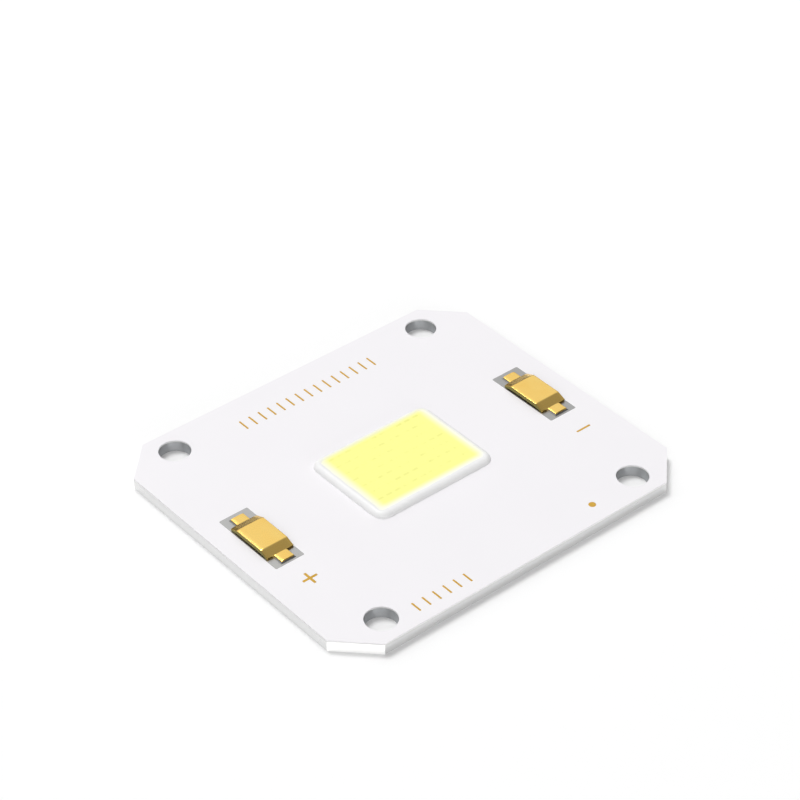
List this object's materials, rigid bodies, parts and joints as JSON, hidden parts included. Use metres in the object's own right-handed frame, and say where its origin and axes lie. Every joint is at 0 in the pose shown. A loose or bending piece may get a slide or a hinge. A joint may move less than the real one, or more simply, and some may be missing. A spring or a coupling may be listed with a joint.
{
  "type": "chip-on-board led module",
  "caption": "Chip-on-board LED module: a cut-corner white aluminium-core plate with a yellow light-emitting rectangle, two gold bridge terminals and corner screw holes.",
  "frame": {"origin": "middle of the plate's underside, where the module meets its heatsink", "axes": "+Z out of the light-emitting face, +X along the plate's long edges from the positive to the negative terminal, +Y across the plate"},
  "size_m": [0.046, 0.04, 0.0021],
  "materials": {
    "plate_aluminium": "satin rolled sheet with cut edges",
    "dielectric": "filled epoxy insulating layer",
    "copper_foil": "etched copper foil under the mask",
    "white_mask": "semi-gloss white solder mask",
    "tinned_pad": "dull reflowed tin solder",
    "gold_plate": "satin gold plating on folded sheet",
    "white_silicone": "glossy cured white silicone bead",
    "phosphor_silicone": "pale yellow phosphor-filled silicone gel",
    "led_die": "polished chip of sapphire",
    "bond_wire": "drawn gold wire"
  },
  "bodies": {
    "root": {"base_plate": "plate_aluminium", "dielectric_layer": "dielectric", "copper_positive": "copper_foil", "copper_negative": "copper_foil", "solder_mask": "white_mask", "solder_pad_positive": "tinned_pad", "solder_pad_negative": "tinned_pad", "terminal_positive": "gold_plate", "terminal_negative": "gold_plate", "silicone_dam": "white_silicone", "phosphor_gel": "phosphor_silicone", "led_row_1": "led_die", "led_row_2": "led_die", "led_row_3": "led_die", "led_row_4": "led_die", "led_row_5": "led_die", "led_row_6": "led_die", "bond_wires_1": "bond_wire", "bond_wires_2": "bond_wire", "bond_wires_3": "bond_wire", "bond_wires_4": "bond_wire", "bond_wires_5": "bond_wire", "bond_wires_6": "bond_wire"}
  },
  "joints": []
}
